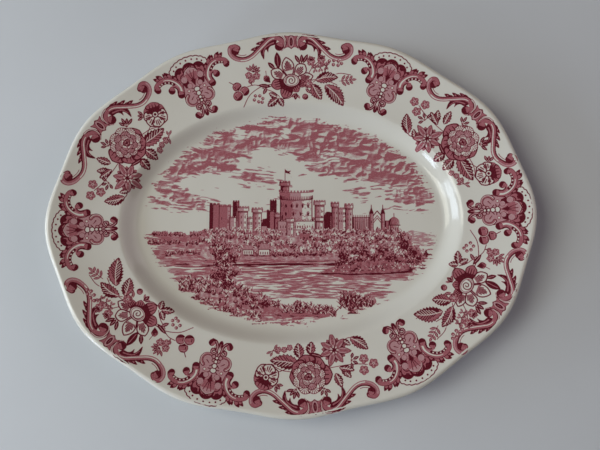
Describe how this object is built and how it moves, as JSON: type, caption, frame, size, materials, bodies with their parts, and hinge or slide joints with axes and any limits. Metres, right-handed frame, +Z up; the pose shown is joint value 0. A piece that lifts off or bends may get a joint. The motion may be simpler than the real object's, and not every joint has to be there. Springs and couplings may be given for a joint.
{
  "type": "oval serving platter",
  "caption": "Oval china serving platter with a lobed rim, a shallow well, a foot ring and red under-glaze prints of a castle view and flowers.",
  "frame": {"origin": "on the table, at the middle of the foot", "axes": "+X along the length, towards the end cartouche; +Y along the width, towards the top of the scene; +Z up"},
  "size_m": [0.305, 0.244, 0.0249],
  "materials": {
    "clay": "matte biscuit earthenware",
    "glaze": "clear gloss glaze",
    "ink": "red ceramic print under glaze"
  },
  "bodies": {
    "root": {"body": "clay", "glaze_front": "glaze", "glaze_back": "glaze", "scene_print": "ink", "cartouche_print_1": "ink", "cartouche_print_2": "ink", "cartouche_print_3": "ink", "cartouche_print_4": "ink", "cartouche_print_5": "ink", "cartouche_print_6": "ink", "spray_print_1": "ink", "spray_print_2": "ink", "spray_print_3": "ink", "spray_print_4": "ink", "spray_print_5": "ink", "spray_print_6": "ink"}
  },
  "joints": []
}
